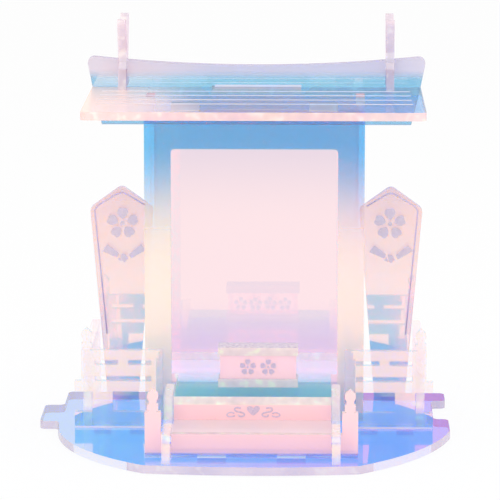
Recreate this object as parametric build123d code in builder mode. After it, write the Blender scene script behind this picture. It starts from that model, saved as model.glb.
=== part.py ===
"""Kamidana: a small household shrine cut from 3 mm sheet and slotted together.

Origin on the ground, under the middle of the front frame's front face.
+Z is up, +Y runs back from the front, +X is to the right seen from the front.
Heights named here count from the top of the ground plate.
"""
import os

from build123d import *

os.makedirs("parts", exist_ok=True)

# Sheet, and the clearance on each side of a tab or a lap
sheet = 3.0
slot_gap = 0.1
tab_length = 10.0
small_tab = 6.0

# Ground plate
base_left = -71.5
base_right = 71.3
base_back = 46.0
base_front = -69.4
front_edge_half = 37.5
front_edge_rise = 2.6
left_curve_end = -9.3
left_curve_swell = 7.8
right_curve_end = -14.0
right_curve_swell = 5.6
cloud_step = 7.2
cloud_step_ends = (-2.0, 24.0)
cloud_notch = 5.4
cloud_notch_ends = (4.2, 33.0)
cloud_notch_slope = -1.0
base_corner = 2.2

# Body
body_half = 40.0
body_depth = 43.0
body_height = 114.7
window_half = 30.4
window_top = 100.8
window_corner = 1.5
back_half = 38.4
floor_tongue = 10.0

# Stair
step_rise = 8.45
riser_lower_y = -56.0
riser_upper_y = -34.0
riser_half = 37.4
newel_width = 5.6
newel_height = 16.3
stair_inner_half = 28.2
stringer_front = -66.0
stringer_step_y = -44.0
stringer_back = -24.0
stringer_lip = 2.4
stringer_tab_y = -30.0

# Railings
rail_y = -12.3
rail_inner_x = 33.0
rail_outer_x = 65.1
post_x = 60.6
post_width = 4.0
inner_post = 4.1
strut = (51.3, 58.6)
sill_height = 5.9
beam_under = 13.6
beam_top = 17.4
mid_rail_under = 19.3
mid_rail_top = 23.4
top_rail_under = 25.2
rail_top = 28.9
rail_stub = 3.6
side_post = 5.0

# Onion finial on a post
finial_ball = 1.9
finial_neck = 1.3
finial_height = 8.2
finial_tip = 0.7

# Roof
roof_half = 61.4
roof_front = -24.0
roof_corner = 2.0
roof_tab_half = 16.6
roof_board_end = 129.4
roof_board_middle = 125.9
roof_board_half = 63.6
roof_board_waist = 61.3
roof_board_under = 103.5
roof_board_under_half = 57.9
roof_board_round = 2.4
chigi_lap = 124.0

# Forked finials of the roof
chigi_x = 49.8
chigi_reach = 14.0
chigi_tip = 5.5
chigi_height = 144.0
chigi_fork = 130.6
chigi_waist = 6.8
chigi_foot = 11.5
chigi_round = 1.6

# Tapering boards beside the body
board_x = 50.5
board_foot_half = 5.8
board_shoulder_half = 11.9
board_shoulder = 72.2
board_apex = 80.8
board_round = 2.6

# Offering box, loose on the floor before the body
box_x = 1.7
box_front = -19.0
box_depth = 9.0
box_half = 14.4
box_wall_half = 13.7
box_wall_height = 8.6
box_sheet = 2.0

# Levels and depths that follow from the sizes above
ground_top = sheet
roof_under = ground_top + body_height
roof_top = roof_under + sheet
floor_under = ground_top + 2 * step_rise - sheet
floor_top = floor_under + sheet
tread_top = ground_top + step_rise
back_y = body_depth - sheet
wall_x = body_half - sheet / 2
stringer_x = stair_inner_half + sheet / 2
tread_y = (riser_lower_y + sheet + riser_upper_y) / 2
stair_lap = ground_top + step_rise / 2
roof_lap = ground_top + chigi_lap
rail_inner_post = rail_inner_x + inner_post
box_mid = box_front + box_depth / 2

# Where the uprights' tabs go through the plates
frame_tabs = (-25.0, 25.0)
back_tabs = (-22.0, 22.0)
wall_tab = (sheet + back_y) / 2
riser_tabs = (-14.0, 14.0)
rail_tabs = (42.0, 55.0)
side_rail_tabs = (5.0, 28.0)


def facing(y):
    """Plane of a sheet that faces the front, with its front face at depth y."""
    return Plane(origin=(0, y, 0), x_dir=(1, 0, 0), z_dir=(0, -1, 0))


def sideways(x):
    """Plane of a sheet that runs from front to back, with its middle at x."""
    return Plane(origin=(x - sheet / 2, 0, 0), x_dir=(0, 1, 0), z_dir=(1, 0, 0))


def span(left, right, bottom, top, mode=Mode.ADD):
    """Rectangle between two sides and two levels of the sketch."""
    with Locations(((left + right) / 2, (bottom + top) / 2)):
        Rectangle(right - left, top - bottom, mode=mode)


def slot(left, right, bottom, top):
    """Hole for a tab or a lap, larger by the clearance on every side."""
    span(left - slot_gap, right + slot_gap, bottom - slot_gap, top + slot_gap, Mode.SUBTRACT)


def tabs(places, length, bottom, top):
    """Tabs of one length, centred on each place."""
    for place in places:
        span(place - length / 2, place + length / 2, bottom, top)


def facing_slots(places, length, y):
    """Holes in a level plate for the tabs of a sheet that faces the front."""
    for place in places:
        slot(place - length / 2, place + length / 2, y, y + sheet)


def sideways_slots(places, length, x):
    """Holes in a level plate for the tabs of a sheet that runs front to back."""
    for place in places:
        slot(x - sheet / 2, x + sheet / 2, place - length / 2, place + length / 2)


def finial(x, z):
    """Onion finial on a post: a neck, a round bulb and a pointed top."""
    bulb = z + finial_height - finial_ball - finial_tip
    collar = (z + bulb) / 2
    span(x - finial_neck, x + finial_neck, z, bulb)
    span(x - finial_ball, x + finial_ball, z + 0.6, collar - 0.2)
    with Locations((x, bulb)):
        Circle(finial_ball)
    Polygon(
        (x - finial_ball * 0.6, bulb + finial_ball * 0.75),
        (x + finial_ball * 0.6, bulb + finial_ball * 0.75),
        (x, z + finial_height),
        align=None,
    )


def save(piece, label):
    """Name a finished piece and write its STEP file."""
    piece.part.label = label
    export_step(piece.part, f"parts/{label}.step")


with BuildPart() as base_plate:
    with BuildSketch() as ground_outline:
        shoulder_y = base_front + front_edge_rise
        with BuildLine():
            ThreePointArc(
                (-front_edge_half, shoulder_y), (0, base_front), (front_edge_half, shoulder_y)
            )
            SagittaArc(
                (front_edge_half, shoulder_y), (base_right, right_curve_end), -right_curve_swell
            )
            Polyline(
                (base_right, right_curve_end),
                (base_right, cloud_notch_ends[0]),
                (base_right - cloud_notch, cloud_notch_ends[0] + cloud_notch_slope),
                (base_right - cloud_notch, cloud_notch_ends[1]),
                (base_right, cloud_notch_ends[1]),
                (base_right, base_back),
                (base_left, base_back),
                (base_left, cloud_step_ends[1]),
                (base_left - cloud_step, cloud_step_ends[1]),
                (base_left - cloud_step, cloud_step_ends[0]),
                (base_left, cloud_step_ends[0]),
                (base_left, left_curve_end),
            )
            SagittaArc((base_left, left_curve_end), (-front_edge_half, shoulder_y), -left_curve_swell)
        make_face()
        fillet(ground_outline.vertices(), base_corner)
        facing_slots(frame_tabs, tab_length, 0)
        facing_slots(back_tabs, tab_length, back_y)
        facing_slots(riser_tabs, tab_length, riser_lower_y)
        facing_slots(riser_tabs, tab_length, riser_upper_y)
        for side in (-1, 1):
            sideways_slots((wall_tab,), tab_length, side * wall_x)
            sideways_slots((stringer_tab_y,), small_tab, side * stringer_x)
            sideways_slots(side_rail_tabs, small_tab, side * post_x)
            facing_slots([side * place for place in rail_tabs], small_tab, rail_y)
            facing_slots((side * board_x,), small_tab, back_y)
    extrude(amount=sheet)
save(base_plate, "base_plate")

with BuildPart() as front_frame:
    with BuildSketch(facing(0)):
        span(-body_half, body_half, ground_top, roof_under)
        tabs(frame_tabs, tab_length, 0, ground_top)
        tabs(frame_tabs, tab_length, roof_under, roof_top)
        window_head = ground_top + window_top
        with Locations((0, (floor_under + window_head) / 2)):
            RectangleRounded(
                2 * window_half, window_head - floor_under, window_corner, mode=Mode.SUBTRACT
            )
        span(-window_half, window_half, floor_under, floor_top, Mode.SUBTRACT)
    extrude(amount=-sheet)
save(front_frame, "front_frame")

with BuildPart() as back_panel:
    with BuildSketch(facing(back_y)):
        span(-back_half, back_half, ground_top, roof_under)
        tabs(back_tabs, tab_length, 0, ground_top)
        slot(-floor_tongue, floor_tongue, floor_under, floor_top)
    extrude(amount=-sheet)
save(back_panel, "back_panel")

with BuildPart() as side_wall_right:
    with BuildSketch(sideways(wall_x)):
        span(sheet, back_y, ground_top, roof_under)
        tabs((wall_tab,), tab_length, 0, ground_top)
        tabs((wall_tab,), tab_length, roof_under, roof_top)
    extrude(amount=sheet)
save(side_wall_right, "side_wall_right")

with BuildPart() as side_wall_left:
    mirror(side_wall_right.part, about=Plane.YZ)
save(side_wall_left, "side_wall_left")

# The floor lies in the window's sill and runs out over the stair as its top tread
with BuildPart() as floor_plate:
    with BuildSketch(Plane.XY.offset(floor_under)):
        stair_half = stair_inner_half - slot_gap
        room_half = wall_x - sheet / 2 - slot_gap
        span(-stair_half, stair_half, riser_upper_y, back_y)
        span(-room_half, room_half, sheet, back_y)
        span(-floor_tongue, floor_tongue, riser_upper_y, body_depth)
    extrude(amount=sheet)
save(floor_plate, "floor_plate")

with BuildPart() as roof_plate:
    with BuildSketch(Plane.XY.offset(roof_under)) as roof_outline:
        span(-roof_half, roof_half, roof_front, body_depth)
        fillet(roof_outline.vertices().group_by(Axis.Y)[0], roof_corner)
        span(-roof_tab_half, roof_tab_half, 0, body_depth + sheet)
        facing_slots(frame_tabs, tab_length, 0)
        for side in (-1, 1):
            sideways_slots((wall_tab,), tab_length, side * wall_x)
    extrude(amount=sheet)
save(roof_plate, "roof_plate")

with BuildPart() as roof_board:
    with BuildSketch(facing(body_depth)) as board_outline:
        board_end = ground_top + roof_board_end
        board_under = ground_top + roof_board_under
        with BuildLine():
            ThreePointArc(
                (-roof_board_half, board_end),
                (0, ground_top + roof_board_middle),
                (roof_board_half, board_end),
            )
            Polyline(
                (roof_board_half, board_end),
                (roof_board_waist, roof_top),
                (roof_board_under_half, board_under),
                (-roof_board_under_half, board_under),
                (-roof_board_waist, roof_top),
                (-roof_board_half, board_end),
            )
        make_face()
        fillet(board_outline.vertices().group_by(Axis.Y)[-1], roof_board_round)
        slot(-roof_tab_half, roof_tab_half, roof_under, roof_top)
        for side in (-1, 1):
            middle = side * chigi_x
            slot(middle - sheet / 2, middle + sheet / 2, roof_lap, board_end)
    extrude(amount=-sheet)
save(roof_board, "roof_board")

# A forked finial straddles the roof board and stands on the roof plate
with BuildPart() as chigi_right:
    with BuildSketch(sideways(chigi_x)) as fork_outline:
        ridge = body_depth + sheet / 2
        fork = ground_top + chigi_fork
        tip = ground_top + chigi_height
        with BuildLine():
            Polyline(
                (ridge + chigi_foot, roof_top),
                (ridge + chigi_waist, fork - sheet),
                (ridge + chigi_reach, tip),
                (ridge + chigi_reach - chigi_tip, tip),
                (ridge, fork),
                (ridge - chigi_reach + chigi_tip, tip),
                (ridge - chigi_reach, tip),
                (ridge - chigi_waist, fork - sheet),
                (ridge - chigi_foot, roof_top),
                close=True,
            )
        make_face()
        fillet(fork_outline.vertices().group_by(Axis.Y)[-1], chigi_round)
        slot(body_depth, body_depth + sheet, roof_top - 1, roof_lap)
    extrude(amount=sheet)
save(chigi_right, "chigi_right")

with BuildPart() as chigi_left:
    mirror(chigi_right.part, about=Plane.YZ)
save(chigi_left, "chigi_left")

with BuildPart() as stair_riser_lower:
    with BuildSketch(facing(riser_lower_y)):
        newel_top = ground_top + newel_height
        span(-riser_half, riser_half, ground_top, tread_top)
        tabs(riser_tabs, tab_length, 0, ground_top)
        for side in (-1, 1):
            newel_x = side * (riser_half - newel_width / 2)
            span(newel_x - newel_width / 2, newel_x + newel_width / 2, ground_top, newel_top)
            finial(newel_x, newel_top)
            middle = side * stringer_x
            slot(middle - sheet / 2, middle + sheet / 2, stair_lap, tread_top)
    extrude(amount=-sheet)
save(stair_riser_lower, "stair_riser_lower")

with BuildPart() as stair_riser_upper:
    with BuildSketch(facing(riser_upper_y)):
        stair_half = stair_inner_half - slot_gap
        span(-stair_half, stair_half, ground_top, floor_under)
        tabs(riser_tabs, tab_length, 0, ground_top)
    extrude(amount=-sheet)
save(stair_riser_upper, "stair_riser_upper")

with BuildPart() as stair_tread_lower:
    with BuildSketch(Plane.XY.offset(tread_top - sheet)):
        stair_half = stair_inner_half - slot_gap
        span(-stair_half, stair_half, riser_lower_y + sheet, riser_upper_y)
        tongue_half = stair_inner_half + sheet
        span(-tongue_half, tongue_half, tread_y - small_tab / 2, tread_y + small_tab / 2)
    extrude(amount=sheet)
save(stair_tread_lower, "stair_tread_lower")

# A stepped cheek on each side of the stair, lapped over the lower riser
with BuildPart() as stringer_right:
    with BuildSketch(sideways(stringer_x)):
        span(stringer_front, stringer_back, ground_top, tread_top + stringer_lip)
        span(stringer_step_y, stringer_back, ground_top, floor_top + stringer_lip)
        tabs((stringer_tab_y,), small_tab, 0, ground_top)
        slot(riser_lower_y, riser_lower_y + sheet, ground_top - 1, stair_lap)
        slot(tread_y - small_tab / 2, tread_y + small_tab / 2, tread_top - sheet, tread_top)
    extrude(amount=sheet)
save(stringer_right, "stringer_right")

with BuildPart() as stringer_left:
    mirror(stringer_right.part, about=Plane.YZ)
save(stringer_left, "stringer_left")

# The front railing is one sheet: sill, strut, floor beam, three rails and a corner post
with BuildPart() as fence_front_right:
    with BuildSketch(facing(rail_y)):
        rails_end = strut[1] - 0.9
        stub = (rail_inner_post + rails_end) / 2
        span(rail_inner_x, rail_outer_x, ground_top, ground_top + sill_height)
        span(rail_inner_x, rail_inner_post, ground_top, ground_top + rail_top)
        span(strut[0], strut[1], ground_top, ground_top + beam_under)
        span(rail_inner_x, rail_outer_x, ground_top + beam_under, ground_top + beam_top)
        span(rail_inner_x, post_x, ground_top + mid_rail_under, ground_top + mid_rail_top)
        span(rail_inner_x, post_x, ground_top + top_rail_under, ground_top + rail_top)
        span(stub - rail_stub / 2, stub + rail_stub / 2, ground_top + mid_rail_top, ground_top + rail_top)
        post_left = post_x - post_width / 2
        span(rails_end, post_left + post_width, ground_top + beam_under, ground_top + rail_top)
        tabs(rail_tabs, small_tab, 0, ground_top)
        finial(post_x, ground_top + rail_top)
    extrude(amount=-sheet)
save(fence_front_right, "fence_front_right")

with BuildPart() as fence_front_left:
    mirror(fence_front_right.part, about=Plane.YZ)
save(fence_front_left, "fence_front_left")

# The side railing runs back from the corner post in two bays
with BuildPart() as fence_side_right:
    with BuildSketch(sideways(post_x)):
        first = rail_y + sheet
        last = body_depth
        middle_post = (first + last) / 2
        span(first, last, ground_top, ground_top + sill_height)
        span(first, last, ground_top + beam_under, ground_top + beam_top)
        span(first, last, ground_top + mid_rail_under, ground_top + mid_rail_top)
        span(first, last, ground_top + top_rail_under, ground_top + rail_top)
        for post in (first + side_post / 2, middle_post, last - side_post / 2):
            span(post - side_post / 2, post + side_post / 2, ground_top, ground_top + rail_top)
        tabs(side_rail_tabs, small_tab, 0, ground_top)
    extrude(amount=sheet)
save(fence_side_right, "fence_side_right")

with BuildPart() as fence_side_left:
    mirror(fence_side_right.part, about=Plane.YZ)
save(fence_side_left, "fence_side_left")

# A tapering five-sided board stands on each side of the body, in line with its back
with BuildPart() as board_right:
    with BuildSketch(facing(back_y)) as tablet_outline:
        shoulder = ground_top + board_shoulder
        with BuildLine():
            Polyline(
                (board_x - board_foot_half, ground_top),
                (board_x + board_foot_half, ground_top),
                (board_x + board_shoulder_half, shoulder),
                (board_x, ground_top + board_apex),
                (board_x - board_shoulder_half, shoulder),
                close=True,
            )
        make_face()
        fillet(tablet_outline.vertices().group_by(Axis.Y)[1:], board_round)
        tabs((board_x,), small_tab, 0, ground_top)
    extrude(amount=-sheet)
save(board_right, "board_right")

with BuildPart() as board_left:
    mirror(board_right.part, about=Plane.YZ)
save(board_left, "board_left")

# Offering box: two plates with four thin walls between them
with BuildPart() as box_base:
    with BuildSketch(Plane.XY.offset(floor_top)):
        span(box_x - box_half, box_x + box_half, box_front, box_front + box_depth)
    extrude(amount=sheet)
save(box_base, "box_base")

wall_x_left = box_x - box_wall_half
wall_x_right = box_x + box_wall_half
box_floor = floor_top + sheet
box_lid_under = box_floor + box_wall_height
box_inset = box_half - box_wall_half

with BuildPart() as box_front_wall:
    with BuildSketch(facing(box_front + box_inset)):
        span(wall_x_left, wall_x_right, box_floor, box_lid_under)
    extrude(amount=-box_sheet)
save(box_front_wall, "box_front")

with BuildPart() as box_back_wall:
    with BuildSketch(facing(box_front + box_depth - box_inset - box_sheet)):
        span(wall_x_left, wall_x_right, box_floor, box_lid_under)
    extrude(amount=-box_sheet)
save(box_back_wall, "box_back")

with BuildPart() as box_side_left:
    with BuildSketch(Plane.XY.offset(box_floor)):
        span(
            wall_x_left,
            wall_x_left + box_sheet,
            box_front + box_inset + box_sheet,
            box_front + box_depth - box_inset - box_sheet,
        )
    extrude(amount=box_wall_height)
save(box_side_left, "box_side_left")

with BuildPart() as box_side_right:
    with BuildSketch(Plane.XY.offset(box_floor)):
        span(
            wall_x_right - box_sheet,
            wall_x_right,
            box_front + box_inset + box_sheet,
            box_front + box_depth - box_inset - box_sheet,
        )
    extrude(amount=box_wall_height)
save(box_side_right, "box_side_right")

with BuildPart() as box_lid:
    with BuildSketch(Plane.XY.offset(box_lid_under)):
        span(box_x - box_half, box_x + box_half, box_front, box_front + box_depth)
    extrude(amount=sheet)
save(box_lid, "box_lid")
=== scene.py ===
import math

import bpy
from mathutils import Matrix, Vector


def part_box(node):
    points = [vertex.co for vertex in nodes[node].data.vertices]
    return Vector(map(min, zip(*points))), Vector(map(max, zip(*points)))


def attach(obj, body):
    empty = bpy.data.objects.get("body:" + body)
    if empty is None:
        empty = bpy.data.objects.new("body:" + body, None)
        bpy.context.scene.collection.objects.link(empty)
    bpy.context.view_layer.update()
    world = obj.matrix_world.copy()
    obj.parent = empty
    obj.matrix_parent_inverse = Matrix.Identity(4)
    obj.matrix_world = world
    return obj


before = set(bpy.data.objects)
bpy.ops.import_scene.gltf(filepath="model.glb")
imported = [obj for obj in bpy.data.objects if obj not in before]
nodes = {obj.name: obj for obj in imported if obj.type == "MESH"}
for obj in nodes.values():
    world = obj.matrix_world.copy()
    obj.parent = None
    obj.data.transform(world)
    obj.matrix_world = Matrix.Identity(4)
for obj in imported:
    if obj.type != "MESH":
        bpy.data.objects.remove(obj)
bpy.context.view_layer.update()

bpy.ops.object.select_all(action="DESELECT")


# The studio: a white floor sheet that runs far behind the shrine and fades out in front of it,
# a white sky behind and a dark room on the camera's side. The clear sheets take their colours
# from what they mirror and what shows through them.
def tint(red, green, blue, alpha=1.0):
    """Colour from 0 to 255 screen values, as linear light."""

    def linear(value):
        value = value / 255
        return value / 12.92 if value <= 0.04045 else ((value + 0.055) / 1.055) ** 2.4

    return (linear(red), linear(green), linear(blue), alpha)


def new_material(name):
    """Empty node material and its output."""
    material = bpy.data.materials.new(name)
    material.use_nodes = True
    tree = material.node_tree
    tree.nodes.clear()
    return material, tree, tree.nodes.new("ShaderNodeOutputMaterial")


def feed(tree, value, socket):
    """Give a socket a plain number or colour, or what another socket puts out."""
    if isinstance(value, bpy.types.NodeSocket):
        tree.links.new(value, socket)
    else:
        socket.default_value = value


def calculate(tree, operation, *values, clamped=False):
    """Math node on sockets or plain numbers."""
    node = tree.nodes.new("ShaderNodeMath")
    node.operation = operation
    node.use_clamp = clamped
    for socket, value in zip(node.inputs, values):
        feed(tree, value, socket)
    return node.outputs[0]


def spread_between(tree, value, low, high, from_value=0.0, to_value=1.0, smooth=False):
    """What grows from one value to another while the input goes from low to high."""
    node = tree.nodes.new("ShaderNodeMapRange")
    if smooth:
        node.interpolation_type = "SMOOTHSTEP"
    feed(tree, value, node.inputs["Value"])
    feed(tree, low, node.inputs["From Min"])
    feed(tree, high, node.inputs["From Max"])
    feed(tree, from_value, node.inputs["To Min"])
    feed(tree, to_value, node.inputs["To Max"])
    return node.outputs[0]


def mix_shaders(tree, share, first, second):
    """Shader that is the second one by a share, and else the first."""
    node = tree.nodes.new("ShaderNodeMixShader")
    feed(tree, share, node.inputs["Fac"])
    tree.links.new(first.outputs[0], node.inputs[1])
    tree.links.new(second.outputs[0], node.inputs[2])
    return node


def split_axes(tree, vector):
    """The X, Y and Z outputs of a vector."""
    node = tree.nodes.new("ShaderNodeSeparateXYZ")
    tree.links.new(vector, node.inputs[0])
    return node.outputs


floor_size = 6
floor_middle = 1.2
floor_front_bright = -0.33
floor_front_dark = -0.70
floor_glow_share = 0.9
paper_white = (0.86, 0.86, 0.86, 1)
bpy.ops.mesh.primitive_plane_add(size=1, location=(0, floor_middle, 0))
floor = bpy.context.object
floor.name = "studio_floor"
floor.scale = (floor_size, floor_size, 1)
bpy.ops.object.transform_apply(location=True, rotation=True, scale=True)
floor_paint, tree, out = new_material("floor_paper")
coordinates = tree.nodes.new("ShaderNodeTexCoord")
place = split_axes(tree, coordinates.outputs["Object"])
fade = spread_between(tree, place["Y"], floor_front_dark, floor_front_bright, smooth=True)
light_path = tree.nodes.new("ShaderNodeLightPath")
bright = calculate(tree, "MAXIMUM", fade, light_path.outputs["Is Camera Ray"])
glow = tree.nodes.new("ShaderNodeEmission")
tree.links.new(bright, glow.inputs["Strength"])
glow.inputs["Color"].default_value = (1, 1, 1, 1)
paper = tree.nodes.new("ShaderNodeBsdfDiffuse")
paper.inputs["Color"].default_value = paper_white
shown = calculate(
    tree, "MAXIMUM", light_path.outputs["Is Camera Ray"], light_path.outputs["Is Glossy Ray"]
)
share = calculate(tree, "MULTIPLY", shown, floor_glow_share)
paper_mix = mix_shaders(tree, share, paper, glow)
tree.links.new(paper_mix.outputs[0], out.inputs["Surface"])
floor.data.materials.append(floor_paint)

room_glow = 0.03
room_edge = 0.35
sky_on_matt = 0.95
world = bpy.data.worlds.new("studio")
bpy.context.scene.world = world
world.use_nodes = True
tree = world.node_tree
tree.nodes.clear()
out = tree.nodes.new("ShaderNodeOutputWorld")
sky = tree.nodes.new("ShaderNodeBackground")
coordinates = tree.nodes.new("ShaderNodeTexCoord")
looking = split_axes(tree, coordinates.outputs["Generated"])
behind = spread_between(tree, looking["Y"], -room_edge, room_edge, room_glow, 1.0, smooth=True)
light_path = tree.nodes.new("ShaderNodeLightPath")
even = calculate(tree, "MULTIPLY", light_path.outputs["Is Diffuse Ray"], sky_on_matt)
sky_light = calculate(tree, "MAXIMUM", behind, even)
sky_light = calculate(tree, "MAXIMUM", sky_light, light_path.outputs["Is Camera Ray"])
tree.links.new(sky_light, sky.inputs["Strength"])
sky.inputs["Color"].default_value = (1, 1, 1, 1)
tree.links.new(sky.outputs[0], out.inputs["Surface"])

for name, place, turned, width, depth, watts in (
    ("overhead_softbox", (0.25, -0.1, 0.9), (0, 12, 0), 0.9, 0.9, 1.6),
    ("front_softbox", (-0.15, -1.1, 0.42), (72, 0, 0), 0.8, 0.5, 3.6),
):
    rotation = [math.radians(angle) for angle in turned]
    bpy.ops.object.light_add(type="AREA", location=place, rotation=rotation)
    lamp = bpy.context.object
    lamp.name = name
    lamp.data.shape = "RECTANGLE"
    lamp.data.size = width
    lamp.data.size_y = depth
    lamp.data.energy = watts
    lamp.visible_glossy = False

# The camera stands low before the shrine with a long lens, as the photograph's does. It looks a
# little down. Rays pass through many thin sheets, so they get plenty of bounces.
camera_place = (0.02125, -1.17722, 0.28627)
camera_tilt = 10.56
camera_turn = 1.11
focal_pixels = 3291.3
frame_pixels = 500
bpy.ops.object.camera_add(
    location=camera_place,
    rotation=(math.radians(90 - camera_tilt), 0, math.radians(camera_turn)),
)
camera = bpy.context.object
camera.name = "camera"
camera.data.sensor_width = 36
camera.data.lens = focal_pixels * camera.data.sensor_width / frame_pixels
camera.data.clip_start = 0.05
bpy.context.scene.camera = camera
bpy.context.scene.view_settings.view_transform = "Standard"
bpy.context.scene.cycles.transparent_max_bounces = 48
bpy.context.scene.cycles.max_bounces = 20
bpy.context.scene.cycles.glossy_bounces = 12


# The sheet: clear acrylic under an iridescent film. The film lets blue through and mirrors what is
# left of white, so over a white floor it is pale, and where it mirrors the dark it is blue.
# Cut edges have no film: they are clear and pale, with mauve and peach tones along them, painted
# glints, most of them greenish, and a painted glow.
def new_group(name, given, made):
    """Empty node group with named inputs and outputs, and the two nodes at its ends."""
    group = bpy.data.node_groups.new(name, "ShaderNodeTree")
    for in_out, sockets in (("INPUT", given), ("OUTPUT", made)):
        for socket, kind in sockets:
            group.interface.new_socket(socket, in_out=in_out, socket_type="NodeSocket" + kind)
    given_node = group.nodes.new("NodeGroupInput")
    made_node = group.nodes.new("NodeGroupOutput")
    return group, given_node.outputs, made_node.inputs


def add_noise(tree, coordinates, scale, detail):
    """Noise on an object's own coordinates."""
    noise = tree.nodes.new("ShaderNodeTexNoise")
    noise.inputs["Detail"].default_value = detail
    tree.links.new(coordinates.outputs["Object"], noise.inputs["Vector"])
    feed(tree, scale, noise.inputs["Scale"])
    return noise.outputs["Fac"]


def blend_colours(tree, share, first, second):
    """Colour that is the second one by a share, and else the first."""
    node = tree.nodes.new("ShaderNodeMix")
    node.data_type = "RGBA"
    feed(tree, share, node.inputs["Factor"])
    feed(tree, first, node.inputs["A"])
    feed(tree, second, node.inputs["B"])
    return node.outputs["Result"]


def make_edge_tone_and_glints():
    """Node group: colour and cloudiness of a cut edge, changing slowly along it, with painted
    glints.
    """
    group, given, made = new_group(
        "edge_tone_and_glints",
        (
            ("Length", "Float"), ("Cool", "Color"), ("Warm", "Color"), ("Glint", "Color"),
            ("Clearest", "Float"), ("Cloudiest", "Float"),
        ),
        (("Color", "Color"), ("Cloud", "Float")),
    )
    glint_size = 260
    coordinates = group.nodes.new("ShaderNodeTexCoord")
    slow = add_noise(group, coordinates, given["Length"], 1.5)
    spread = spread_between(group, slow, 0.36, 0.64)
    blend = blend_colours(group, spread, given["Cool"], given["Warm"])
    # Painted glints: small noise patches in the glint colour stand in for highlights along the
    # edge.
    fine = add_noise(group, coordinates, glint_size, 1)
    spark = spread_between(group, fine, 0.56, 0.70)
    glinting = blend_colours(group, spark, blend, given["Glint"])
    group.links.new(glinting, made["Color"])
    cloud = spread_between(group, fine, 0.0, 1.0, given["Clearest"], given["Cloudiest"])
    group.links.new(cloud, made["Cloud"])
    return group


def make_film_drift():
    """Node group: the film's mirror colour, drifting from one tint to another over the sheet."""
    group, given, made = new_group(
        "film_drift",
        (
            ("Size", "Float"), ("Tint", "Color"), ("Other Tint", "Color"), ("Slope", "Vector"),
            ("Start", "Float"), ("Drift Share", "Float"), ("Low Level", "Float"),
            ("High Level", "Float"), ("Low Share", "Float"), ("High Share", "Float"),
        ),
        (("Color", "Color"), ("Roughness", "Float"), ("Pearl", "Float"), ("Speckle", "Float")),
    )
    wander_share = 0.4
    grain_size = 900
    coordinates = group.nodes.new("ShaderNodeTexCoord")
    slow = add_noise(group, coordinates, given["Size"], 0)
    spread = spread_between(group, slow, 0.35, 0.65, smooth=True)
    slanted = group.nodes.new("ShaderNodeVectorMath")
    slanted.operation = "DOT_PRODUCT"
    group.links.new(coordinates.outputs["Object"], slanted.inputs[0])
    group.links.new(given["Slope"], slanted.inputs[1])
    wander = calculate(group, "MULTIPLY_ADD", spread, wander_share, slanted.outputs["Value"])
    amount = calculate(group, "ADD", wander, given["Start"], clamped=True)
    group.links.new(blend_colours(group, amount, given["Tint"], given["Other Tint"]), made["Color"])
    fine = add_noise(group, coordinates, grain_size, 2)
    group.links.new(spread_between(group, fine, 0.0, 1.0, 0.012, 0.045), made["Roughness"])
    group.links.new(spread_between(group, fine, 0.42, 0.60), made["Speckle"])
    place = split_axes(group, coordinates.outputs["Object"])
    share = spread_between(
        group, place["Z"], given["Low Level"], given["High Level"], given["Low Share"],
        given["High Share"], smooth=True,
    )
    milky = calculate(group, "MULTIPLY_ADD", amount, given["Drift Share"], share, clamped=True)
    group.links.new(milky, made["Pearl"])
    return group


edge_tone_and_glints = make_edge_tone_and_glints()
film_drift = make_film_drift()


def place_group(tree, group, **values):
    """Node group in a material, with its inputs' values. An underscore stands for a space."""
    node = tree.nodes.new("ShaderNodeGroup")
    node.node_tree = group
    for name, value in values.items():
        node.inputs[name.replace("_", " ")].default_value = value
    return node


everywhere = (-1.0, 1.0)
above_ground_sheet = (0.0031, 1.0)
between_ground_and_roof = (0.0031, 0.1176)


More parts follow.
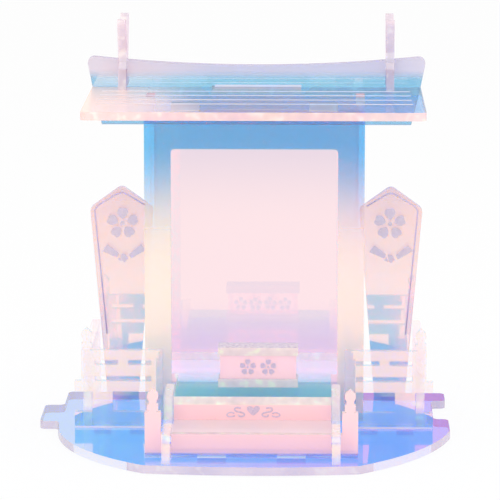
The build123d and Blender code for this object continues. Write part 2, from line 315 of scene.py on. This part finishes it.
def film_sheet(
    name, axis, through, mirrored, mirrored_other, pearl=(1, 0.9, 0.88, 1), pearl_share=(0, 0),
    pearl_levels=(0.003, 0.12), cool=(222, 205, 236), warm=(255, 226, 216), cloud=(0.10, 0.30),
    filmed=above_ground_sheet, slope=(0, 0, 0), start=0.3, glint=(244, 248, 214),
    slot_field=None, drift_share=0.0, film_behind=None, speckled=None, edge_glow=0.06,
    bare_tint=(0.965, 0.955, 0.985, 1),
):
    """Sheet with film on both faces that look along one axis, and bare cut edges.

    The film lets the colour called through pass. Its mirror drifts between two tints, along the
    slope from the start, and its pearl has a share at each of two levels above the ground. Cool,
    warm, glint and cloud are for the cut edges: glint is the colour of painted glints on them, and
    edge_glow is the strength of a painted glow from them. Filmed is the lowest and the highest
    level that has film, and film_behind the depth where it begins. The slot field is half its
    width, its front and its back.
    """
    facing = 0.7
    material, tree, out = new_material(name)
    coordinates = tree.nodes.new("ShaderNodeTexCoord")
    normal = split_axes(tree, coordinates.outputs["Normal"])
    place = split_axes(tree, coordinates.outputs["Object"])

    # The film is a clear pane with a tinted mirror on it, under a share of milky pearl.
    drift = place_group(
        tree, film_drift, Size=14, Tint=mirrored, Other_Tint=mirrored_other, Slope=slope,
        Start=start, Drift_Share=drift_share, Low_Level=pearl_levels[0],
        High_Level=pearl_levels[1], Low_Share=pearl_share[0], High_Share=pearl_share[1],
    )
    clear = tree.nodes.new("ShaderNodeBsdfTransparent")
    clear.inputs["Color"].default_value = through
    mirror = tree.nodes.new("ShaderNodeBsdfAnisotropic")
    tree.links.new(drift.outputs["Color"], mirror.inputs["Color"])
    tree.links.new(drift.outputs["Roughness"], mirror.inputs["Roughness"])
    film = tree.nodes.new("ShaderNodeAddShader")
    tree.links.new(clear.outputs[0], film.inputs[0])
    tree.links.new(mirror.outputs[0], film.inputs[1])
    sheen = tree.nodes.new("ShaderNodeBsdfPrincipled")
    sheen.inputs["Base Color"].default_value = pearl
    sheen.inputs["Roughness"].default_value = 0.2
    sheen.inputs["Specular IOR Level"].default_value = 0.2
    if speckled:
        specks = blend_colours(tree, drift.outputs["Speckle"], pearl, speckled)
        tree.links.new(specks, sheen.inputs["Base Color"])
    if axis == "Z":
        outer = calculate(tree, "GREATER_THAN", normal[axis], facing)
    else:
        outer = calculate(tree, "LESS_THAN", normal[axis], -facing)
    milky = calculate(tree, "MULTIPLY", drift.outputs["Pearl"], outer)
    film_mix = mix_shaders(tree, milky, film, sheen)

    # A cut edge is hazy, and cloudy in places. Inside the slots, where it touches, it is clear.
    light = place_group(
        tree, edge_tone_and_glints, Length=42, Cool=tint(*cool), Warm=tint(*warm), Glint=tint(*glint),
        Clearest=cloud[0], Cloudiest=cloud[1],
    )
    edge = tree.nodes.new("ShaderNodeBsdfPrincipled")
    edge.inputs["Roughness"].default_value = 0.25
    edge.inputs["Specular IOR Level"].default_value = 0.3
    tree.links.new(light.outputs["Color"], edge.inputs["Base Color"])
    # Painted glow: the edge gives off light in its own colour, at edge_glow strength, though it is
    # no lamp.
    tree.links.new(light.outputs["Color"], edge.inputs["Emission Color"])
    edge.inputs["Emission Strength"].default_value = edge_glow
    haze = tree.nodes.new("ShaderNodeBsdfTransparent")
    haze.inputs["Color"].default_value = (0.98, 0.95, 0.985, 1)
    clouded = light.outputs["Cloud"]
    if slot_field:
        half, front, back = slot_field
        rim = calculate(tree, "GREATER_THAN", calculate(tree, "ABSOLUTE", place["X"]), half)
        fore = calculate(tree, "LESS_THAN", place["Y"], front)
        rear = calculate(tree, "GREATER_THAN", place["Y"], back)
        rim = calculate(tree, "MAXIMUM", rim, calculate(tree, "MAXIMUM", fore, rear))
        clouded = calculate(tree, "MULTIPLY", clouded, rim)
    edge_mix = mix_shaders(tree, clouded, haze, edge)
    along = calculate(tree, "ABSOLUTE", normal[axis])
    on_face = calculate(tree, "GREATER_THAN", along, facing)
    choose = mix_shaders(tree, on_face, edge_mix, film_mix)

    # Inside another sheet's slot a tab mirrors nothing, so there it is bare, lightly tinted sheet.
    above = calculate(tree, "GREATER_THAN", place["Z"], filmed[0])
    below = calculate(tree, "LESS_THAN", place["Z"], filmed[1])
    in_open = calculate(tree, "MULTIPLY", above, below)
    if film_behind:
        rearward = calculate(tree, "GREATER_THAN", place["Y"], film_behind)
        in_open = calculate(tree, "MULTIPLY", in_open, rearward)
    bare = tree.nodes.new("ShaderNodeBsdfTransparent")
    bare.inputs["Color"].default_value = bare_tint
    sheet_mix = mix_shaders(tree, in_open, bare, choose)
    tree.links.new(sheet_mix.outputs[0], out.inputs["Surface"])
    return material


def dress(material, *names):
    """Give CAD nodes a material."""
    for name in names:
        node = nodes[name]
        node.data.materials.clear()
        node.data.materials.append(material)


# The ground sheet lies flat under everything. Its film mirrors the uprights that stand on it in
# deep blue and violet, and is pale lavender where it mirrors the open studio.
ground_film = film_sheet(
    "ground_film", "Z", (0.15, 0.46, 0.97, 1), (0.47, 0.31, 0.02, 1), (0.46, 0.10, 0.03, 1),
    slope=(9, 0, 0), cool=(184, 166, 192), warm=(214, 192, 206), glint=(212, 200, 208),
    cloud=(0.5, 0.72), edge_glow=0.02, filmed=everywhere, slot_field=(0.0638, -0.0625, 0.0445),
)
dress(ground_film, "base_plate")

# The stair: two risers, one lower tread and a stringer on each side, which is lapped over the lower
# riser. Tabs hold the uprights in the ground sheet. The risers are warm pink, the tread is paler,
# and their cut edges are cream and half clear.
riser_film = film_sheet(
    "riser_film", "Y", (0.40, 0.62, 0.86, 1), (0.72, 0.34, 0.08, 1), (0.70, 0.30, 0.12, 1),
    pearl=tint(255, 210, 211), pearl_share=(0.08, 0.84), pearl_levels=(0.0042, 0.0050),
    cool=(244, 236, 222), warm=(255, 246, 220), glint=(236, 250, 214), cloud=(0.3, 0.6),
    edge_glow=0.14,
)
tread_film = film_sheet(
    "tread_film", "Z", (0.84, 0.88, 0.95, 1), (0.14, 0.10, 0.04, 1), (0.12, 0.08, 0.05, 1),
    pearl=tint(248, 226, 222), pearl_share=(0.7, 0.7), cool=(244, 230, 218), warm=(255, 240, 220),
    glint=(232, 250, 214), cloud=(0.3, 0.6), edge_glow=0.14,
)
side_film = film_sheet(
    "side_film", "X", (0.86, 0.90, 0.97, 1), (0.12, 0.07, 0.03, 1), (0.12, 0.06, 0.05, 1),
    cool=(255, 224, 214), warm=(255, 240, 216), glint=(242, 248, 212), cloud=(0.22, 0.44),
    edge_glow=0.26,
)
dress(riser_film, "stair_riser_lower", "stair_riser_upper")
dress(tread_film, "stair_tread_lower")
dress(side_film, "stringer_left", "stringer_right")

# Railings stand beside the body on both sides: a front length with a sill, three rails and a corner
# post, and a side length behind it. They are pink where their film mirrors the floor.
railing_film = film_sheet(
    "railing_film", "Y", (0.27, 0.60, 0.87, 1), (0.73, 0.39, 0.12, 1), (0.73, 0.34, 0.10, 1),
    pearl=tint(255, 232, 226), pearl_share=(0.12, 0.12), cool=(250, 240, 228), warm=(255, 246, 226),
)
dress(railing_film, "fence_front_left", "fence_front_right")
dress(side_film, "fence_side_left", "fence_side_right")

# The body: a front frame with its big window, two side walls, a back panel, and a floor that runs
# out over the stair as a deck. The frame goes from blue at the top to cream low down, the side
# walls are almost clear, and the back panel is violet at its foot.
frame_film = film_sheet(
    "frame_film", "Y", (0.20, 0.71, 0.96, 1), (0.77, 0.25, 0.0, 1), (0.78, 0.17, 0.01, 1),
    pearl=tint(255, 234, 213), pearl_share=(0.68, 0.0), pearl_levels=(0.045, 0.098),
    filmed=between_ground_and_roof, slope=(9, 0, 0), start=0.2, bare_tint=(0.76, 0.88, 0.98, 1),
)
wall_film = film_sheet(
    "wall_film", "X", (0.97, 0.98, 0.995, 1), (0.02, 0.015, 0.01, 1), (0.02, 0.015, 0.01, 1),
    cloud=(0.03, 0.10), filmed=between_ground_and_roof, bare_tint=(0.93, 0.93, 0.97, 1),
)
back_film = film_sheet(
    "back_film", "Y", (0.79, 0.70, 0.80, 1), (0.24, 0.14, 0.03, 1), (0.26, 0.13, 0.04, 1),
    pearl=tint(238, 164, 244), pearl_share=(0.24, 0.0), pearl_levels=(0.022, 0.041),
    film_behind=0.0415,
)
deck_film = film_sheet(
    "deck_film", "Z", (0.50, 0.88, 0.97, 1), (0.12, 0.10, 0.02, 1), (0.62, 0.24, 0.12, 1),
    slope=(0, 60, 0), start=0.5, cool=(255, 214, 202), warm=(255, 228, 208), glint=(246, 242, 214),
    cloud=(0.45, 0.7), edge_glow=0.24,
)
dress(frame_film, "front_frame")
dress(wall_film, "side_wall_left", "side_wall_right")
dress(back_film, "back_panel")
dress(deck_film, "floor_plate")

# The roof: a plate that overhangs the body, a curved board standing along its back, and the two
# forked finials lapped over the board. The plate is peach at its left end and blue at its right.
# The peach is partly its mirror's tint and partly painted reflection: a milky peach layer that
# grows towards the left end.
# Painted reflection: drift_share lays the peach pearl over the plate's left end.
roof_plate_film = film_sheet(
    "roof_plate_film", "Z", (0.42, 0.68, 0.93, 1), (0.34, 0.18, 0.04, 1), (0.80, 0.52, 0.34, 1),
    pearl=tint(255, 220, 204), pearl_share=(0.0, 0.0), cool=(250, 206, 202), warm=(255, 218, 200),
    glint=(255, 230, 216), cloud=(0.62, 0.86), slope=(-15, 0, 0), start=-0.28, drift_share=0.9,
)
roof_board_film = film_sheet(
    "roof_board_film", "Y", (0.44, 0.72, 0.88, 1), (0.42, 0.26, 0.10, 1), (0.38, 0.22, 0.12, 1),
    pearl=tint(228, 216, 224), pearl_share=(0.05, 0.86), pearl_levels=(0.1228, 0.1276),
    cool=(196, 176, 204), warm=(220, 194, 212), glint=(226, 204, 220), cloud=(0.5, 0.7),
)
finial_film = film_sheet(
    "finial_film", "X", (0.92, 0.88, 0.93, 1), (0.06, 0.04, 0.04, 1), (0.06, 0.04, 0.05, 1),
    cool=(214, 198, 208), warm=(240, 222, 224), glint=(250, 240, 232), cloud=(0.35, 0.6),
    edge_glow=0.02,
)
dress(roof_plate_film, "roof_plate")
dress(roof_board_film, "roof_board")
dress(finial_film, "chigi_left", "chigi_right")

# The tapering boards stand beside the body's back corners, salmon pink, with their film's mirror
# image of the railing in front of them.
board_film = film_sheet(
    "board_film", "Y", (0.28, 0.52, 0.78, 1), (0.73, 0.37, 0.09, 1), (0.72, 0.38, 0.14, 1),
    pearl=tint(255, 206, 206), pearl_share=(0.05, 0.30), pearl_levels=(0.04, 0.08),
    cool=(196, 172, 212), warm=(226, 190, 214), cloud=(0.45, 0.7),
)
dress(board_film, "board_left", "board_right")

# The offering box stands loose on the deck: a base, a lid, and four walls between them that are
# cut from thinner sheet. Its walls are pink, and its level sheets are frosted and speckled.
box_film = film_sheet(
    "box_film", "Y", (0.66, 0.74, 0.88, 1), (0.50, 0.30, 0.16, 1), (0.48, 0.28, 0.20, 1),
    pearl=tint(255, 212, 217), pearl_share=(0.64, 0.64), cool=(240, 236, 226), warm=(255, 250, 226),
    cloud=(0.2, 0.5),
)
box_side_film = film_sheet(
    "box_side_film", "X", (0.90, 0.92, 0.97, 1), (0.08, 0.05, 0.04, 1), (0.08, 0.05, 0.05, 1),
)
box_level_film = film_sheet(
    "box_level_film", "Z", (0.80, 0.82, 0.90, 1), (0.16, 0.10, 0.06, 1), (0.14, 0.10, 0.08, 1),
    pearl=tint(214, 200, 208), pearl_share=(0.66, 0.66), speckled=tint(248, 238, 228),
    cool=(240, 220, 212), warm=(250, 232, 214), glint=(240, 240, 208), cloud=(0.5, 0.75),
    edge_glow=0.06,
)
dress(box_film, "box_front", "box_back")
dress(box_side_film, "box_side_left", "box_side_right")
dress(box_level_film, "box_base", "box_lid")

# Engraving: the laser leaves a shallow, frosted, lavender-grey mark in the film. On the face of the
# upper riser it has cut a heart between two pairs of scrolls. A mark has next to no depth, so each
# is a flat piece that lies on the sheet.
engraving_depth = 0.00008
merge_distance = 0.000002


def frosted_mark(name, size, first, second, cover):
    """Shallow laser mark: matt and slightly see-through, with a grain of two near tints."""
    material, tree, out = new_material(name)
    coordinates = tree.nodes.new("ShaderNodeTexCoord")
    grain = add_noise(tree, coordinates, size, 2)
    tints = tree.nodes.new("ShaderNodeValToRGB")
    for element, position, colour in zip(tints.color_ramp.elements, (0.35, 0.65), (first, second)):
        element.position = position
        element.color = colour
    tree.links.new(grain, tints.inputs["Fac"])
    frost = tree.nodes.new("ShaderNodeBsdfPrincipled")
    frost.inputs["Roughness"].default_value = 0.6
    frost.inputs["Specular IOR Level"].default_value = 0.2
    tree.links.new(tints.outputs["Color"], frost.inputs["Base Color"])
    see_past = tree.nodes.new("ShaderNodeBsdfTransparent")
    marked = mix_shaders(tree, cover, see_past, frost)
    tree.links.new(marked.outputs[0], out.inputs["Surface"])
    return material


engraved = frosted_mark("engraved_frost", 1800, tint(212, 190, 212), tint(228, 208, 224), 0.84)


def engrave(name, shapes, face_y, closed=True, stroke=0.0, smooth=False, material=engraved):
    """Flat mark on an upright face that looks forward. Shapes are lists of (x, z) in millimetres,
    filled when closed, and drawn as a line when they have a stroke."""
    curve = bpy.data.curves.new(name, "CURVE")
    curve.dimensions = "2D"
    for points in shapes:
        spline = curve.splines.new("NURBS" if smooth else "POLY")
        spline.points.add(len(points) - 1)
        for point, (x, z) in zip(spline.points, points):
            point.co = (x / 1000, z / 1000, 0, 1)
        spline.use_cyclic_u = closed
        if smooth:
            spline.order_u = 3
            spline.use_endpoint_u = not closed
            spline.resolution_u = 6
    if stroke:
        curve.dimensions = "3D"
        curve.bevel_depth = stroke / 2000
        curve.bevel_resolution = 2
        curve.use_fill_caps = True
    else:
        curve.fill_mode = "BOTH"
        curve.extrude = engraving_depth / 2
    piece = bpy.data.objects.new(name, curve)
    bpy.context.scene.collection.objects.link(piece)
    bpy.ops.object.select_all(action="DESELECT")
    piece.select_set(True)
    bpy.context.view_layer.objects.active = piece
    bpy.ops.object.convert(target="MESH")
    piece = bpy.context.object
    if stroke:
        piece.scale.z = engraving_depth / (stroke / 1000)
    piece.rotation_euler.x = math.radians(90)
    piece.location.y = face_y - engraving_depth / 2
    bpy.ops.object.transform_apply(location=True, rotation=True, scale=True)
    bpy.ops.object.mode_set(mode="EDIT")
    bpy.ops.mesh.select_all(action="SELECT")
    bpy.ops.mesh.remove_doubles(threshold=merge_distance)
    bpy.ops.mesh.normals_make_consistent(inside=False)
    bpy.ops.object.mode_set(mode="OBJECT")
    piece.data.materials.clear()
    piece.data.materials.append(material)
    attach(piece, "root")


def moved(points, right, up, flip=1):
    """Shape moved into its place, and turned left for right where flip is -1."""
    return [(right + flip * x, up + z) for x, z in points]


riser_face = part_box("stair_riser_upper")[0][1]
heart_x = 0.3
heart_z = 14.9
heart = (
    (0, -2.1), (1.3, -0.9), (2.35, 0.2), (2.3, 1.35), (1.2, 1.75), (0.25, 1.2), (0, 0.8),
    (-0.25, 1.2), (-1.2, 1.75), (-2.3, 1.35), (-2.35, 0.2), (-1.3, -0.9),
)
upper_curl = (
    (4.5, 0.75), (5.5, 1.15), (6.6, 0.85), (6.75, 0.1), (5.9, -0.45), (4.5, -0.65),
    (3.35, -1.0), (3.1, -1.75), (4.05, -2.3), (5.3, -2.1), (5.3, -1.5),
)
lower_curl = (
    (6.8, -1.2), (7.5, -0.65), (8.8, -0.8), (9.6, -1.6), (9.0, -2.3), (7.6, -2.3), (6.6, -1.95),
)
engrave("riser_heart", [moved(heart, heart_x, heart_z)], riser_face, smooth=True)
for side, flip in (("left", -1), ("right", 1)):
    for name, curl, stroke in (("upper", upper_curl, 0.62), ("lower", lower_curl, 0.5)):
        engrave(
            "riser_scroll_" + name + "_" + side, [moved(curl, heart_x, heart_z, flip)],
            riser_face, closed=False, stroke=stroke, smooth=True,
        )

# Each tapering board has a blossom, and under it a ribbon drawn in to a knot, and a fine border
# line inside its outer edge. The marks are a little warmer here, as the film around them is pink.
board_mark = frosted_mark("board_frost", 1800, tint(222, 198, 206), tint(238, 216, 218), 0.9)
border_mark = frosted_mark("border_frost", 300, tint(220, 196, 222), tint(238, 216, 230), 0.7)
petal_count = 5
petal_outline = (
    (0.26, 0.0), (0.40, 0.19), (0.66, 0.35), (0.92, 0.28), (1.0, 0.12), (0.90, 0.0),
    (1.0, -0.12), (0.92, -0.28), (0.66, -0.35), (0.40, -0.19),
)
blossom_heart = 0.15
heart_points = 10


def blossom(centre_x, centre_z, radius):
    """Five rounded petals, each with a notch at its tip, and a small round heart."""
    shapes = []
    for petal in range(petal_count):
        turn = math.radians(90 + 360 / petal_count * petal)
        side = []
        for along, across in petal_outline:
            x = centre_x + radius * (along * math.cos(turn) - across * math.sin(turn))
            z = centre_z + radius * (along * math.sin(turn) + across * math.cos(turn))
            side.append((x, z))
        shapes.append(side)
    ring = []
    for step in range(heart_points):
        turn = math.radians(360 / heart_points * step)
        x = centre_x + radius * blossom_heart * math.cos(turn)
        z = centre_z + radius * blossom_heart * math.sin(turn)
        ring.append((x, z))
    shapes.append(ring)
    return shapes


board_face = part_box("board_left")[0][1]
board_middle = 50.5
ribbon_z = 56.0
board_blossom_z = 69.4
ribbon = (
    ((-7.8, 2.7), (-5.9, 5.3), (-1.5, 1.8), (-2.1, 0.2)),
    ((2.1, 1.5), (6.7, 5.4), (8.7, 3.2), (2.9, -0.1)),
    ((-0.8, 1.7), (0.7, 1.7), (1.9, -0.2), (0.4, -1.6), (-0.5, -0.9)),
    ((-1.3, 0.5), (-0.5, -1.2), (-2.2, -0.4)),
)
border = (
    (5.9, 27.0), (10.2, 74.4), (9.0, 76.2), (1.6, 80.7), (0.0, 81.2), (-1.6, 80.7), (-9.0, 76.2),
)
for side, flip, centre in (("left", -1, -50.1), ("right", 1, 50.3)):
    engrave(
        "board_ribbon_" + side, [moved(shape, centre, ribbon_z) for shape in ribbon],
        board_face, material=board_mark,
    )
    engrave(
        "board_blossom_" + side, blossom(centre - 0.1, board_blossom_z, 6.0),
        board_face, smooth=True, material=board_mark,
    )
    engrave(
        "board_border_" + side, [moved(border, flip * board_middle, 0.0, flip)],
        board_face, closed=False, stroke=0.55, material=border_mark,
    )

# The offering box has two small blossoms on its front wall and a row of four on its rear wall.
# The rear row shows from the front too, in the mirror of the back panel's film.
box_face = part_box("box_front")[0][1]
box_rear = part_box("box_back")[1][1]
box_blossom_z = 27.2
for side, x in (("left", -2.0), ("right", 5.4)):
    engrave(
        "box_blossom_" + side, blossom(x, box_blossom_z, 3.0), box_face, smooth=True
    )
for number, x in enumerate((-7.0, -1.2, 4.6, 10.4), 1):
    engrave(
        "box_rear_blossom_" + str(number), blossom(x, box_blossom_z, 2.7),
        box_rear + engraving_depth, smooth=True,
    )

# Four tile lines run along the roof plate's top from side to side. They are pale, because the
# laser has cut through the film there. One is made and the others are copies.
# The same pale mark also makes the painted highlight strips further down.
tile_line_and_highlight_mark = frosted_mark("tile_line_and_highlight_frost", 60, tint(238, 238, 250), tint(255, 240, 236), 0.8)
roof_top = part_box("roof_plate")[1][2]
tile_line_length = 0.114
tile_line_width = 0.0011
tile_line_height = 0.00012
tile_line_bevel = 0.00004
tile_line_places = (-0.003, 0.008, 0.0195, 0.0308)
bpy.ops.object.select_all(action="DESELECT")
bpy.ops.mesh.primitive_cube_add(size=1, location=(0, 0, 0))
tile_line = bpy.context.object
tile_line.scale = (tile_line_length, tile_line_width, tile_line_height)
bpy.ops.object.transform_apply(location=True, rotation=True, scale=True)
bpy.ops.object.mode_set(mode="EDIT")
bpy.ops.mesh.select_all(action="SELECT")
bpy.ops.mesh.bevel(offset=tile_line_bevel, segments=1, affect="EDGES")
bpy.ops.object.mode_set(mode="OBJECT")
tile_line.data.materials.append(tile_line_and_highlight_mark)
for number, place in enumerate(tile_line_places, 1):
    line = tile_line.copy()
    line.data = tile_line.data.copy()
    line.name = "roof_tile_line_" + str(number)
    bpy.context.scene.collection.objects.link(line)
    line.location = (0, place, roof_top + tile_line_height / 2)
    bpy.ops.object.select_all(action="DESELECT")
    line.select_set(True)
    bpy.context.view_layer.objects.active = line
    bpy.ops.object.transform_apply(location=True, rotation=True, scale=True)
    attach(line, "root")
bpy.data.objects.remove(tile_line)

# Painted highlights: where one sheet passes through or stands on another, a thin pale strip in the
# tile lines' mark stands in for the light that its polished edge catches: at the roof plate's tab
# in the roof board, and along the feet of the front railings.
roof_board_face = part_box("roof_board")[0][1]
tab_left = -15.6
tab_right = 16.8
tab_low = 120.8
tab_high = 121.6
tab_painted_highlight = ((tab_left, tab_low), (tab_right, tab_low), (tab_right, tab_high), (tab_left, tab_high))
engrave("roof_tab_painted_highlight", [tab_painted_highlight], roof_board_face, material=tile_line_and_highlight_mark)
railing_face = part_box("fence_front_left")[0][1]
foot_inner = 33.2
foot_outer = 64.9
foot_low = 3.05
foot_high = 3.75
foot_painted_highlight = (
    (foot_inner, foot_low), (foot_outer, foot_low),
    (foot_outer, foot_high), (foot_inner, foot_high),
)
for side, flip in (("left", -1), ("right", 1)):
    engrave(
        "railing_foot_painted_highlight_" + side, [moved(foot_painted_highlight, 0.0, 0.0, flip)],
        railing_face, material=tile_line_and_highlight_mark,
    )
